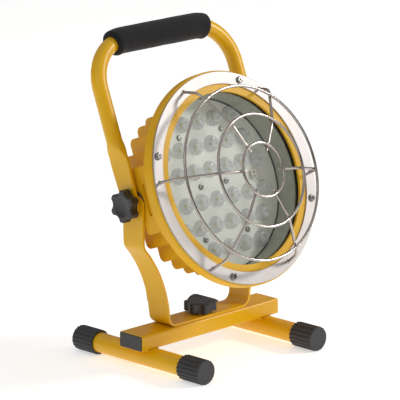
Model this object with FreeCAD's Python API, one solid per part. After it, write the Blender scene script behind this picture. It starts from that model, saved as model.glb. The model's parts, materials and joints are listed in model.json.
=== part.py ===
import FreeCAD, Part
import math
import os

# Portable LED work light: a finned round lamp in a bent strap yoke, with a carrying handle on the
# same pivot, on a welded tube stand. Millimetres, +Z up. The lamp looks towards -Y.
# The origin is on the floor, under the middle of the whole object.

# ---- whole object
pan_y = 10.6            # the yoke turns about this vertical line, behind the middle of the depth
pivot_z = 211.0         # height of the lamp's and the handle's cross axis
lamp_tilt = 20.5        # degrees the lamp looks up as it stands
handle_lean = 20.7      # degrees the handle leans back as it stands

# ---- clearances
face_gap = 0.1          # between flat faces that turn on each other
bore_gap = 0.08         # radial, a turning bolt in its hole
snug_gap = 0.05         # a pushed-on or dropped-in piece

# ---- stand
bar_length = 240.0
bar_width = 40.0
bar_height = 20.0
bar_wall = 1.5
bar_corner = 2.5
leg_radius = 12.7
leg_wall = 2.0
leg_span = 199.0        # between the two leg axes
leg_length = 217.0
leg_shift = 2.0         # legs stand this far behind the bar's middle
leg_seat = 1.3          # depth of the flat pressed into each leg under the bar
weld_leg = 5.5
weld_length = 37.0

foot_radius = 15.85
foot_drop = 0.05        # the lowest ridge is ground flat by this much
foot_length = 36.0
foot_end = 4.0
foot_flutes = 18
flute_radius = 2.3
flute_depth = 1.0
foot_round = 1.6

plug_proud = 1.2
plug_inset = 0.7        # the plug's face stops short of the tube's outside by this much
plug_depth = 14.0
plug_wall = 2.0

# ---- bolts and star knobs
bolt_radius = 4.0
thread_pitch = 1.25
knob_radius = 20.5
knob_height = 13.2
knob_hub_radius = 9.0
knob_hub_height = 1.6
knob_lobes = 6
scallop_radius = 8.0
scallop_depth = 4.6
knob_dish_radius = 13.6
knob_dish_depth = 2.2
steel_washer_radius = 10.0
steel_washer_height = 1.5
bolt_head_radius = 8.5
bolt_head_height = 4.2
stud_grip = 22.0        # length of stud inside the lamp's lug
stud_in_knob = 9.0

# ---- yoke
strap_thick = 3.0
strap_width = 35.0
arm_inside = 111.0      # from the middle to each arm's inner face
arm_above_pivot = 12.5
arm_end_radius = 23.0
arm_bend_z = 157.0      # where each arm turns in towards the bar
arm_knee_step = 34.0    # each arm has come in by this much at its knee
arm_knee_z = 115.8
arm_foot_step = 41.9    # and by this much where it meets the bar
arm_bend_radius = 14.0
arm_curve_radius = 158.0
arm_foot_radius = 12.5

clip_z = 79.0
clip_bore = 4.5
clip_wall = 1.4
clip_width = 9.5
clip_reach = 2.0        # the loop's centre stands this far behind the strap's edge
clip_screw_radius = 2.0
clip_screw_y = 5.0
clip_screw_bite = 2.3   # the screw stops short of the strap's outer face

# ---- lamp, measured back from the guard ring's front face
ring_ahead = 70.3       # guard ring's front face to the pivot axis
ring_radius = 133.5
ring_bore = 118.0
ring_thick = 2.0
bezel_radius = 135.5
bezel_bore = 108.6
bezel_thick = 3.5
bezel_depth = 15.0
bezel_wall = 4.0
bezel_round = 2.4
glass_radius = 116.0
glass_thick = 4.7
gasket_wall = 1.0
gasket_lap = 5.8
sleeve_radius = 108.9
sleeve_wall = 1.0
sleeve_stop = 0.6       # shadow gap between the sleeve and the LED board
drum_bore = 110.0
drum_radius = 113.5
drum_depth = 42.0
board_depth = 43.0
board_radius = 108.2
board_thick = 1.6
back_plate = 6.4
back_radius = 109.3
seam_radius = 112.2     # the drum meets the heat sink here
spigot_length = 1.2
spigot_wall = 1.5

fin_pitch = 16.5
fin_thick = 3.8
fin_count = 12
fin_reach = 108.0       # radius of the circle that the fins fill
fin_back = 89.0
fin_round = 8.0
rib_x = 107.4           # short ribs beside the pivot lugs
rib_back = 63.0
rib_top = 42.0
rib_round = 5.0
lug_half = 22.0
lug_washer_thick = 1.4
lug_back = 87.0
lug_round = 9.0
lug_washer_radius = 17.0

core_radius = 64.0
core_bore = 55.0
core_back = 83.0
cover_gasket_thick = 1.0
cover_thick = 4.0
cover_screw_circle = 59.5
cover_screw_count = 6
cover_screw_radius = 2.0

gland_z = -28.0
gland_thread = 10.0
gland_bore = 5.0
gland_flange = 13.0
gland_flange_thick = 6.0
gland_dome_radius = 12.0
gland_dome_length = 15.0
gland_cable = 4.5

# ---- guard
guard_screw_circle = 126.0
guard_screw_angle = 22.0
guard_screw_count = 4
guard_screw_radius = 2.5
guard_screw_length = 17.0
guard_head_radius = 4.6
guard_head_height = 2.6
wire_radius = 1.75
weld_touch = 0.02
spoke_count = 6
spoke_angle = -23.0
spoke_foot = 126.5
spoke_shoulder = (120.0, 21.0)
spoke_crown = (69.5, 44.0)
spoke_top = (33.7, 46.6)
spoke_tip = 26.5
spoke_bend = 15.0
spoke_sweep = 62.0
hoops = {"guard_hoop_outer": (109.0, 29.6), "guard_hoop_middle": (70.2, 46.6), "guard_hoop_inner": (33.7, 50.15)}

# ---- light engine
led_pitch = 27.1
row_pitch = 30.6
row_gap = 38.0          # between the two middle rows
led_rows = (5, 6, 7)    # LEDs in each row, from the edge to the middle, and back again
lens_height = 8.7
lens_base = 10.5
lens_rim = 1.4
lens_top = 7.7
lens_dome = 1.3
chip_side = 3.4
chip_height = 0.9
chip_dome = 1.4
pocket_radius = 2.9
pocket_depth = 3.0
board_screw_far = 36.6
board_screw_near = 21.9
board_screw_radius = 1.5
board_screw_head = 3.7
board_screw_head_height = 2.0
board_screw_length = 5.0
terminal_x = 71.0
terminal_size = (13.0, 4.0, 11.0)

driver_size = (74.0, 58.0)
driver_depth = 61.0
driver_thick = 1.6
driver_screw_x = 32.0
driver_screw_z = 24.0
standoff_radius = 3.4
driver_screw_radius = 1.4
lead_radius = 1.1
lead_x = 41.0
lead_spread = 3.0

# ---- handle
tube_radius = 10.0
tube_wall = 1.5
handle_height = 200.3   # pivot axis to the middle of the grip
handle_bend = 55.0
flat_thick = 3.5
flat_width = 26.0       # across the round tip at the pivot
flat_top_width = 31.0   # the blade widens to this where it meets the tube
flat_end = 52.0         # the flattened end reaches this far up the arm
round_start = 80.0
taper_sunk = 8.0
taper_bite = 1.0
nylon_washer_radius = 12.0
nylon_washer_thick = 0.6
grip_radius = 16.7
grip_sweep = 20.0       # degrees of each bend that the grip covers
grip_round = 3.0

V = FreeCAD.Vector
X = V(1, 0, 0)
Y = V(0, 1, 0)
Z = V(0, 0, 1)
FULL = 360.0

# ---- sizes worked out from the values above
leg_axis_z = foot_radius - foot_drop
bar_z = leg_axis_z + leg_radius - leg_seat
bar_top = bar_z + bar_height
strap_z = bar_top + face_gap
strap_top = strap_z + strap_thick
arm_outside = arm_inside + strap_thick
arm_knee_x = arm_inside - arm_knee_step
arm_foot_x = arm_inside - arm_foot_step
lug_face = arm_inside - face_gap - lug_washer_thick
nylon_x = arm_outside + face_gap
flat_x = nylon_x + nylon_washer_thick
washer_x = flat_x + flat_thick + face_gap
knob_x = washer_x + steel_washer_height + face_gap
tube_x = flat_x + flat_thick / 2
base_washer_z = strap_top + face_gap
base_knob_z = base_washer_z + steel_washer_height + face_gap
bezel_front = ring_thick
flange_front = bezel_front + bezel_thick
glass_front = flange_front + gasket_wall
glass_back = glass_front + glass_thick
rebate_back = glass_back + gasket_wall
rebate_radius = glass_radius + gasket_wall + 1.0
plate_front = board_depth + board_thick
plate_back = plate_front + back_plate
flange_radius = bezel_radius - bezel_wall - snug_gap
hole_radius = bolt_radius + bore_gap


# ---- helpers
def box(x0, x1, y0, y1, z0, z1):
    """A box between two corners."""
    return Part.makeBox(x1 - x0, y1 - y0, z1 - z0, V(x0, y0, z0))


def face_of(points):
    """A flat face through the points."""
    return Part.Face(Part.makePolygon([V(*p) for p in points] + [V(*points[0])]))


def group(shapes):
    """Separate solids that share one node."""
    return Part.makeCompound(shapes)


def turned(points):
    """A solid of revolution about Y from (radius, y) points."""
    face = face_of([(r, y, 0) for r, y in points])
    return face.revolve(V(0, 0, 0), Y, FULL)


def corner(before, at, after, radius):
    """The arc that rounds a corner of a path: its start, middle, end and centre."""
    back = (before - at).normalize()
    ahead = (after - at).normalize()
    half = back.getAngle(ahead) / 2
    reach = radius / math.tan(half)
    middle = (back + ahead).normalize()
    centre = at + middle * (radius / math.sin(half))
    start = at + back * reach
    end = at + ahead * reach
    top = centre - middle * radius
    return start, top, end, centre


def rounded_path(points, radii):
    """A wire through the points, with each inner corner rounded by its radius."""
    edges = []
    last = points[0]
    for i, radius in enumerate(radii, start=1):
        start, top, end, centre = corner(points[i - 1], points[i], points[i + 1], radius)
        if (start - last).Length > 1e-6:
            edges.append(Part.LineSegment(last, start).toShape())
        edges.append(Part.Arc(start, top, end).toShape())
        last = end
    edges.append(Part.LineSegment(last, points[-1]).toShape())
    return Part.Wire(edges)


def swept(path, profile):
    """The solid that a closed profile leaves as it follows the path."""
    return path.makePipeShell([profile], True, False, 2)


def circle_at(centre, along, radius):
    """A round profile square to a direction."""
    return Part.Wire([Part.makeCircle(radius, centre, along)])


def spun(shape, angle, axis=Y, centre=V(0, 0, 0)):
    """A turned copy."""
    copy = shape.copy()
    copy.rotate(centre, axis, angle)
    return copy


def moved(shape, by):
    """A shifted copy."""
    copy = shape.copy()
    copy.translate(by)
    return copy


def mirrored(shape):
    """The same piece on the other side of the object's middle plane."""
    return shape.mirror(V(0, 0, 0), X)


def fillet_where(shape, radius, test):
    """Rounds the edges that the test picks."""
    edges = [e for e in shape.Edges if test(e)]
    return shape.makeFillet(radius, edges)


def runs_along(edge, direction):
    """True for a straight edge that lies along the direction."""
    if len(edge.Vertexes) != 2:
        return False
    run = edge.Vertexes[1].Point - edge.Vertexes[0].Point
    straight = abs(run.Length - edge.Length) < 1e-6
    return straight and run.cross(direction).Length < 1e-6 * max(run.Length, 1)


def on_plane(edge, axis, value):
    """True for an edge that lies in the plane axis = value."""
    box_ = edge.BoundBox
    low = {"x": box_.XMin, "y": box_.YMin, "z": box_.ZMin}[axis]
    high = {"x": box_.XMax, "y": box_.YMax, "z": box_.ZMax}[axis]
    return abs(low - value) < 1e-4 and abs(high - value) < 1e-4


def phillips(radius, depth, top):
    """The cross-shaped driver recess, cut down from y = top into a head that faces -Y."""
    arm = radius * 0.62
    half = radius * 0.13
    bar = box(-arm, arm, top, top + depth, -half, half)
    return bar.fuse(box(-half, half, top, top + depth, -arm, arm))


def pan_screw(head_radius, head_height, shank_radius, length):
    """A pan-head screw that is driven along +Y, with the underside of its head at y = 0."""
    head = Part.makeCylinder(head_radius, head_height, V(0, -head_height, 0), Y)
    head = fillet_where(head, head_height * 0.6, lambda e: on_plane(e, "y", -head_height))
    head = head.cut(phillips(head_radius, head_height * 0.55, -head_height))
    shank = Part.makeCylinder(shank_radius, length, V(0, 0, 0), Y)
    return head.fuse(shank).removeSplitter()


def ring_places(radius, angle, count):
    """Points on a circle in the XZ plane, angles from +Z towards +X."""
    for i in range(count):
        a = math.radians(angle + FULL / count * i)
        yield radius * math.sin(a), radius * math.cos(a)


# ---- stand, built about the pan axis
def crossbar():
    half = bar_length / 2
    outer = box(-half, half, -bar_width / 2, bar_width / 2, bar_z, bar_top)
    outer = fillet_where(outer, bar_corner, lambda e: runs_along(e, X))
    w = bar_wall
    inner = box(-half, half, -bar_width / 2 + w, bar_width / 2 - w, bar_z + w, bar_top - w)
    inner = fillet_where(inner, bar_corner - w, lambda e: runs_along(e, X))
    bolt_hole = Part.makeCylinder(bolt_radius, bar_height, V(0, 0, bar_z), Z)
    return outer.cut(inner).cut(bolt_hole)


def leg(side):
    start = V(side * leg_span / 2, leg_shift - leg_length / 2, leg_axis_z)
    tube = Part.makeCylinder(leg_radius, leg_length, start, Y)
    tube = tube.cut(Part.makeCylinder(leg_radius - leg_wall, leg_length, start, Y))
    reach = leg_span
    seat = box(-reach, reach, -bar_width / 2, bar_width / 2, bar_z, bar_top)
    return tube.cut(seat)


def stand_welds():
    beads = []
    for side in (-1, 1):
        axis_x = side * leg_span / 2
        tube = Part.makeCylinder(leg_radius, leg_length, V(axis_x, -leg_length / 2, leg_axis_z), Y)
        for flank in (-1, 1):
            root = axis_x + flank * leg_radius * 0.45
            toe = root + flank * weld_leg
            low = bar_z - weld_leg
            face = face_of([(root, 0, bar_z), (toe, 0, bar_z), (root, 0, low)])
            bead = face.extrude(V(0, weld_length, 0))
            beads.append(moved(bead, V(0, -weld_length / 2, 0)).cut(tube))
    return group(beads)


def foot(side, end):
    """A fluted rubber cap. end is -1 at the front and 1 at the rear."""
    cap = Part.makeCylinder(foot_radius, foot_length, V(0, 0, 0), Y)
    cap = fillet_where(cap, foot_round, lambda e: on_plane(e, "y", foot_length))
    step = FULL / foot_flutes
    distance = foot_radius + flute_radius - flute_depth
    for x, z in ring_places(distance, step / 2, foot_flutes):
        cap = cap.cut(Part.makeCylinder(flute_radius, foot_length, V(x, 0, z), Y))
    socket = foot_length - foot_end
    cap = cap.cut(Part.makeCylinder(leg_radius + snug_gap, socket, V(0, 0, 0), Y))
    big = foot_radius * 2
    cap = cap.cut(box(-big, big, -1, foot_length + 1, -big, -foot_radius + foot_drop))
    if end < 0:
        cap.rotate(V(0, 0, 0), Z, 180)
    mouth = leg_shift + end * (leg_length / 2 - socket)
    return moved(cap, V(side * leg_span / 2, mouth, leg_axis_z))


def bar_plug(side):
    half = bar_length / 2
    face_y = bar_width / 2 - plug_inset
    face = box(half, half + plug_proud, -face_y, face_y, bar_z + plug_inset, bar_top - plug_inset)
    face = fillet_where(face, bar_corner - plug_inset, lambda e: runs_along(e, X))
    face = fillet_where(face, plug_proud * 0.6, lambda e: on_plane(e, "x", half + plug_proud))
    w = bar_wall + snug_gap
    fit_y = bar_width / 2 - w
    body = box(half - plug_depth, half, -fit_y, fit_y, bar_z + w, bar_top - w)
    body = fillet_where(body, bar_corner - bar_wall, lambda e: runs_along(e, X))
    w = w + plug_wall
    fit_y = bar_width / 2 - w
    hollow = box(half - plug_depth, half - plug_wall, -fit_y, fit_y, bar_z + w, bar_top - w)
    plug = face.fuse(body.cut(hollow)).removeSplitter()
    return plug if side > 0 else mirrored(plug)


def carriage_bolt():
    """The pan bolt: a round head under the bar, and a shank up into the base knob."""
    head = Part.makeCylinder(bolt_head_radius, bolt_head_height, V(0, 0, bar_z - bolt_head_height), Z)
    head = fillet_where(head, bolt_head_height * 0.7, lambda e: on_plane(e, "z", bar_z - bolt_head_height))
    length = base_knob_z + stud_in_knob - bar_z
    shank = Part.makeCylinder(bolt_radius, length, V(0, 0, bar_z), Z)
    return head.fuse(shank).removeSplitter()


# ---- star knob, with its seat at z = 0 and its face up +Z
def star_knob(bore):
    star = Part.makeCylinder(knob_radius, knob_height - knob_hub_height, V(0, 0, knob_hub_height), Z)
    distance = knob_radius + scallop_radius - scallop_depth
    for i in range(knob_lobes):
        a = math.radians((i + 0.5) * FULL / knob_lobes)
        centre = V(distance * math.cos(a), distance * math.sin(a), 0)
        star = star.cut(Part.makeCylinder(scallop_radius, knob_height, centre, Z))
    star = fillet_where(star, 3.2, lambda e: runs_along(e, Z) and e.Length > 5)
    star = fillet_where(star, 1.6, lambda e: on_plane(e, "z", knob_height))
    dish_ball = knob_dish_radius ** 2 / (2 * knob_dish_depth) + knob_dish_depth / 2
    dish = Part.makeSphere(dish_ball, V(0, 0, knob_height + dish_ball - knob_dish_depth))
    hub = Part.makeCone(knob_hub_radius, knob_hub_radius + 1.5, knob_hub_height)
    hub = hub.fuse(Part.makeCylinder(knob_hub_radius + 1.5, 1, V(0, 0, knob_hub_height), Z))
    knob = star.cut(dish).fuse(hub).removeSplitter()
    return knob.cut(Part.makeCylinder(bore, stud_in_knob + snug_gap, V(0, 0, 0), Z))


def flat_washer(radius, bore, height):
    """A washer on the Z axis, from z = 0."""
    disc = Part.makeCylinder(radius, height)
    return disc.cut(Part.makeCylinder(bore, height))


def outward(shape, side, start):
    """Lays a piece that stands along +Z on the pivot axis, from x = start outwards."""
    copy = spun(shape, 90, Y)
    copy.translate(V(start, 0, 0))
    if side < 0:
        copy = spun(copy, 180, Z)
    return copy


# ---- yoke
def strap_points():
    """Left half of the strap's middle line, from the arm's top to the middle of the bar."""
    arm_x = arm_inside + strap_thick / 2
    low = strap_z + strap_thick / 2
    top = pivot_z + arm_above_pivot
    return [V(-arm_x, 0, top), V(-arm_x, 0, arm_bend_z), V(-arm_knee_x, 0, arm_knee_z),
            V(-arm_foot_x, 0, low), V(0, 0, low)]


def strap_half():
    points = strap_points()
    path = rounded_path(points, [arm_bend_radius, arm_curve_radius, arm_foot_radius])
    start = points[0]
    w = strap_width / 2
    t = strap_thick / 2
    profile = Part.makePolygon([start + V(-t, -w, 0), start + V(t, -w, 0), start + V(t, w, 0),
                                start + V(-t, w, 0), start + V(-t, -w, 0)])
    return swept(path, profile)


def arm_end_cut():
    """What is trimmed off square arms to leave their rounded ends."""
    top = pivot_z + arm_above_pivot
    reach = arm_outside + 5
    block = box(-reach, reach, -strap_width, strap_width, top - 14, top + 5)
    barrel = Part.makeCylinder(arm_end_radius, 2 * reach, V(-reach, 0, top - arm_end_radius), X)
    return block.cut(barrel)


def clip_place():
    """The clip's spot on the left arm: a point on the inner face, and the arm's slope there."""
    p = strap_points()
    start, top, end, centre = corner(p[1], p[2], p[3], arm_curve_radius)
    rise = clip_z - centre.z
    angle = math.asin(rise / arm_curve_radius)
    inner = arm_curve_radius - strap_thick / 2
    toward = V(math.cos(angle), 0, math.sin(angle))
    side = 1 if centre.x < p[2].x else -1
    toward = V(side * toward.x, 0, toward.z)
    return centre + toward * (arm_curve_radius + (inner - arm_curve_radius) * -side), toward


def yoke_strap():
    half = strap_half()
    strap = half.fuse(mirrored(half)).removeSplitter()
    strap = strap.cut(arm_end_cut())
    reach = arm_outside + 5
    strap = strap.cut(Part.makeCylinder(hole_radius, 2 * reach, V(-reach, 0, pivot_z), X))
    strap = strap.cut(Part.makeCylinder(hole_radius, bar_height, V(0, 0, bar_top), Z))
    hole = Part.makeCylinder(clip_screw_radius, clip_screw_bite + 10, V(-clip_screw_bite, clip_screw_y, 0), X)
    return strap.cut(on_clip(hole))


def on_clip(shape):
    """Moves a piece built on the arm's inner face (+X off the face, +Z up the arm) into place."""
    spot, across = clip_place()
    slope = math.degrees(math.atan2(across.z, across.x))
    return moved(spun(shape, -slope, Y), spot)


def cable_clip():
    """A P-shaped cable clip: a loop behind the strap's edge, and a tab screwed to the strap."""
    loop_r = clip_bore + clip_wall
    centre = V(loop_r, strap_width / 2 + clip_reach, -clip_width / 2)
    loop = Part.makeCylinder(loop_r, clip_width, centre, Z)
    tab_end = clip_screw_y - 5.5
    tab = box(0, 2 * clip_wall, tab_end, centre.y, -clip_width / 2, clip_width / 2)
    clip = loop.fuse(tab).cut(Part.makeCylinder(clip_bore, clip_width, centre, Z))
    clip = clip.cut(Part.makeCylinder(clip_screw_radius, 10, V(-1, clip_screw_y, 0), X))
    return on_clip(clip.removeSplitter())


def clip_screw():
    length = clip_screw_bite + 2 * clip_wall
    screw = pan_screw(3.8, 2.4, clip_screw_radius, length)
    screw = spun(screw, 90, Z)
    return on_clip(moved(screw, V(2 * clip_wall, clip_screw_y, 0)))


# ---- lamp, built about the pivot: looks along -Y, y = depth - ring_ahead
def at_depth(depth):
    return depth - ring_ahead


def turned_lamp(points):
    """A solid of revolution about the lamp's axis from (radius, depth) points."""
    return turned([(r, at_depth(d)) for r, d in points])


def lamp_plate(x0, x1, d0, d1, z0, z1):
    return box(x0, x1, at_depth(d0), at_depth(d1), z0, z1)


def round_back(plate, radius, back, z_test):
    """Rounds a plate's rear corners, the ones whose height the test picks."""
    y = at_depth(back)

    def picked(e):
        return runs_along(e, X) and on_plane(e, "y", y) and z_test(e.BoundBox.Center.z)
    return fillet_where(plate, radius, picked)


def fins():
    plates = []
    for i in range(fin_count // 2):
        x = (i + 0.5) * fin_pitch
        high = math.sqrt(fin_reach ** 2 - x ** 2)
        plate = lamp_plate(x - fin_thick / 2, x + fin_thick / 2, plate_back - 1, fin_back, -high, high)
        plate = round_back(plate, fin_round, fin_back, lambda z: True)
        plates += [plate, mirrored(plate)]
    return plates


def ribs(front, back):
    """Short ribs above and below each pivot lug, between two depths."""
    found = []
    for up in (-1, 1):
        low, high = sorted((up * lug_half * 0.9, up * rib_top))
        plate = lamp_plate(rib_x - fin_thick / 2, rib_x + fin_thick / 2, front, back, low, high)
        if back > plate_back:
            plate = round_back(plate, rib_round, back, lambda z: abs(z) > lug_half)
        found += [plate, mirrored(plate)]
    return found


def lugs():
    """The two pivot lugs, one on each side of the heat sink."""
    block = lamp_plate(core_radius - 4, lug_face, plate_back - 1, lug_back, -lug_half, lug_half)
    block = round_back(block, lug_round, lug_back, lambda z: True)
    return [block, mirrored(block)]


def drum():
    """The front half of the casing: a flange with a rebate for the glass, and the drum's wall."""
    body = turned_lamp([(drum_bore, plate_front), (drum_bore, rebate_back),
                        (rebate_radius, rebate_back), (rebate_radius, flange_front),
                        (flange_radius, flange_front), (flange_radius, bezel_depth - 1),
                        (drum_radius + 3, bezel_depth - 1), (drum_radius, bezel_depth + 2),
                        (drum_radius, drum_depth), (seam_radius, plate_front)])
    for piece in ribs(bezel_depth, plate_front):
        body = body.fuse(piece)
    length = plate_front - rebate_back
    body = body.cut(Part.makeCylinder(drum_bore, length, V(0, at_depth(rebate_back), 0), Y))
    for x, z in guard_places():
        depth = at_depth(flange_front)
        body = body.cut(Part.makeCylinder(guard_screw_radius, guard_screw_length, V(x, depth, z), Y))
    return body.removeSplitter()


def heat_sink():
    """The rear half of the casing: a plate on a spigot in the drum, fins, pivot lugs and driver well."""
    spigot = drum_bore - snug_gap
    body = turned_lamp([(0, plate_front), (spigot - spigot_wall, plate_front),
                        (spigot - spigot_wall, plate_front - spigot_length), (spigot, plate_front - spigot_length),
                        (spigot, plate_front), (seam_radius, plate_front), (back_radius, plate_back - 3),
                        (back_radius - 2, plate_back), (0, plate_back)])
    core = Part.makeCylinder(core_radius, core_back - plate_back + 1, V(0, at_depth(plate_back - 1), 0), Y)
    for piece in fins() + ribs(plate_front, rib_back) + lugs() + [core]:
        body = body.fuse(piece)
    body = body.cut(Part.makeCylinder(core_bore, 60, V(0, at_depth(plate_back), 0), Y))
    seat = Part.makeCylinder(core_radius + 0.6, 20, V(0, at_depth(core_back), 0), Y)
    body = body.cut(seat)
    hole_end = lug_face - stud_grip - 4
    for side in (-1, 1):
        start = V(side * lug_face, 0, 0)
        body = body.cut(Part.makeCylinder(hole_radius, lug_face - hole_end, start, X * -side))
    for x, z in driver_places():
        post = Part.makeCylinder(standoff_radius, driver_depth - plate_back, V(x, at_depth(plate_back), z), Y)
        body = body.fuse(post)
        hole = Part.makeCylinder(driver_screw_radius, 8, V(x, at_depth(driver_depth - 6), z), Y)
        body = body.cut(hole)
    for x, z in board_places():
        start = V(x, at_depth(plate_front), z)
        body = body.cut(Part.makeCylinder(board_screw_radius, board_screw_length, start, Y))
    for x, z in cover_places():
        start = V(x, at_depth(core_back - 10), z)
        body = body.cut(Part.makeCylinder(cover_screw_radius, 10, start, Y))
    for z in (-lead_spread, lead_spread):
        start = V(lead_x, at_depth(plate_front), z)
        body = body.cut(Part.makeCylinder(lead_radius + bore_gap, back_plate, start, Y))
    return body.removeSplitter()


def bezel():
    inner = flange_radius + snug_gap
    body = turned_lamp([(bezel_bore, bezel_front), (bezel_radius, bezel_front), (bezel_radius, bezel_depth),
                        (inner, bezel_depth), (inner, flange_front), (bezel_bore, flange_front)])
    front = at_depth(bezel_front)
    body = fillet_where(body, bezel_round, lambda e: on_plane(e, "y", front) and e.BoundBox.XMax > ring_radius)
    for x, z in guard_places():
        start = V(x, at_depth(bezel_front), z)
        body = body.cut(Part.makeCylinder(guard_screw_radius + bore_gap, bezel_thick, start, Y))
    return body


def glass():
    disc = Part.makeCylinder(glass_radius, glass_thick, V(0, at_depth(glass_front), 0), Y)
    return disc


def glass_gasket():
    """A channel of rubber round the glass's edge."""
    lip = glass_radius - gasket_lap
    return turned_lamp([(lip, flange_front), (rebate_radius, flange_front), (rebate_radius, rebate_back),
                        (lip, rebate_back), (lip, glass_back), (glass_radius, glass_back),
                        (glass_radius, glass_front), (lip, glass_front)])


def reflector_sleeve():
    outer = sleeve_radius + sleeve_wall
    back = board_depth - sleeve_stop
    return turned_lamp([(sleeve_radius, rebate_back), (outer, rebate_back), (outer, back), (sleeve_radius, back)])


def guard_places():
    return list(ring_places(guard_screw_circle, guard_screw_angle, guard_screw_count))


def guard_ring():
    body = turned_lamp([(ring_bore, 0), (ring_radius, 0), (ring_radius, ring_thick), (ring_bore, ring_thick)])
    body = fillet_where(body, 0.6, lambda e: on_plane(e, "y", at_depth(0)))
    for x, z in guard_places():
        start = V(x, at_depth(0), z)
        body = body.cut(Part.makeCylinder(guard_screw_radius + bore_gap, ring_thick, start, Y))
    return body


def guard_screws():
    screw = pan_screw(guard_head_radius, guard_head_height, guard_screw_radius, guard_screw_length)
    return group([moved(spun(screw, x), V(x, at_depth(0), z)) for x, z in guard_places()])


def guard_hoop(radius, height):
    """A ring of wire in front of the lamp, height measured forward from the guard ring."""
    ring = Part.makeTorus(radius, wire_radius, V(0, at_depth(-height), 0), Y)
    return ring


def guard_spokes():
    """Six bent wires, from their feet on the guard ring to just inside the inner hoop."""
    def place(r, h):
        return V(0, at_depth(-h), r)
    rise = spoke_shoulder[1]
    points = [place(spoke_foot, weld_touch), place(*spoke_shoulder), place(*spoke_crown),
              place(*spoke_top), place(spoke_tip, spoke_top[1] + (spoke_top[0] - spoke_tip) * 0.02)]
    path = rounded_path(points[:3] + [points[4]], [spoke_bend, spoke_sweep])
    along = (points[1] - points[0]).normalize()
    wire = swept(path, circle_at(points[0], along, wire_radius))
    wire = wire.cut(box(-9, 9, at_depth(-weld_touch), at_depth(rise), spoke_foot - 20, spoke_foot + 20))
    return group([spun(wire, spoke_angle + FULL / spoke_count * i) for i in range(spoke_count)])


def led_places():
    """Where each LED stands: straight rows, filled out symmetrically."""
    spots = []
    heights = [row_gap / 2 + row_pitch * (len(led_rows) - 1 - i) for i in range(len(led_rows))]
    for count, height in zip(led_rows, heights):
        for z in (height, -height):
            spots += [((i - (count - 1) / 2) * led_pitch, z) for i in range(count)]
    return spots


def board_places():
    outer_z = row_gap / 2 + row_pitch * 1.5
    far = [(sx * board_screw_far, sz * outer_z) for sx in (-1, 1) for sz in (-1, 1)]
    return far + [(-board_screw_near, 0), (board_screw_near, 0)]


def led_board():
    board = Part.makeCylinder(board_radius, board_thick, V(0, at_depth(board_depth), 0), Y)
    for x, z in board_places():
        start = V(x, at_depth(board_depth), z)
        board = board.cut(Part.makeCylinder(board_screw_radius + bore_gap, board_thick, start, Y))
    return board


def board_screws():
    screw = pan_screw(board_screw_head, board_screw_head_height, board_screw_radius,
                      board_screw_length + board_thick)
    return group([moved(spun(screw, 17 * x), V(x, at_depth(board_depth), z)) for x, z in board_places()])


def led_chips():
    half = chip_side / 2
    y = at_depth(board_depth)
    chip = box(-half, half, y - chip_height, y, -half, half)
    dome = Part.makeSphere(chip_dome, V(0, y - chip_height, 0))
    dome = dome.common(box(-half, half, y - chip_height - chip_dome, y, -half, half))
    chip = chip.fuse(dome).removeSplitter()
    return group([moved(chip, V(x, 0, z)) for x, z in led_places()])


def lens_outline(depth):
    """Points up one side of a lens, from its base on the board to the middle of its dome."""
    top = depth - lens_height
    shoulder = top + lens_dome
    return [(0, depth - pocket_depth), (pocket_radius, depth - pocket_depth), (pocket_radius, depth),
            (lens_base, depth), (lens_base, depth - lens_rim), (lens_base - 0.9, depth - lens_rim),
            (lens_top, shoulder)], top


def lenses():
    outline, top = lens_outline(board_depth)
    points = [V(r, at_depth(d), 0) for r, d in outline]
    crown = V(0, at_depth(top), 0)
    ball = (lens_top ** 2 + lens_dome ** 2) / (2 * lens_dome)
    slope = math.asin(lens_top / ball) / 2
    mid = V(ball * math.sin(slope), at_depth(top) + ball * (1 - math.cos(slope)), 0)
    edges = [Part.LineSegment(a, b).toShape() for a, b in zip(points[:-1], points[1:])]
    edges.append(Part.Arc(points[-1], mid, crown).toShape())
    edges.append(Part.LineSegment(crown, points[0]).toShape())
    lens = Part.Face(Part.Wire(edges)).revolve(V(0, 0, 0), Y, FULL)
    return group([moved(lens, V(x, 0, z)) for x, z in led_places()])


def terminal_block():
    w, h, t = terminal_size
    y = at_depth(board_depth)
    body = box(terminal_x - w / 2, terminal_x + w / 2, y - h, y, -t / 2, t / 2)
    body = fillet_where(body, 1.0, lambda e: runs_along(e, Y))
    for z in (-t / 4, t / 4):
        body = body.cut(Part.makeCylinder(1.5, 2.2, V(terminal_x - w / 5, y - h, z), Y))
    return body


def driver_places():
    return [(sx * driver_screw_x, sz * driver_screw_z) for sx in (-1, 1) for sz in (-1, 1)]


def driver_board():
    w, h = driver_size
    board = lamp_plate(-w / 2, w / 2, driver_depth, driver_depth + driver_thick, -h / 2, h / 2)
    for x, z in driver_places():
        start = V(x, at_depth(driver_depth), z)
        board = board.cut(Part.makeCylinder(driver_screw_radius + bore_gap, driver_thick, start, Y))
    for z in (-lead_spread, lead_spread):
        hole = Part.makeCylinder(lead_radius, driver_thick, V(-lead_x + 10, at_depth(driver_depth), z), Y)
        board = board.cut(hole)
    return board


def driver_screws():
    screw = spun(pan_screw(2.8, 1.8, driver_screw_radius, 5.0), 180, X)
    y = at_depth(driver_depth + driver_thick)
    return group([moved(screw, V(x, y, z)) for x, z in driver_places()])


def driver_transformer():
    d = driver_depth + driver_thick
    core = lamp_plate(-14, 14, d, d + 17, -13, 13)
    coil = lamp_plate(-9, 9, d + 2, d + 15, -17, 17)
    return core.fuse(coil).removeSplitter()


def driver_capacitors():
    y = at_depth(driver_depth + driver_thick)
    cans = [(-25, -9, 6.0, 16.0), (-25, 9, 6.0, 16.0), (24, 0, 5.0, 13.0)]
    return group([Part.makeCylinder(r, h, V(x, y, z), Y) for x, z, r, h in cans])


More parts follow.
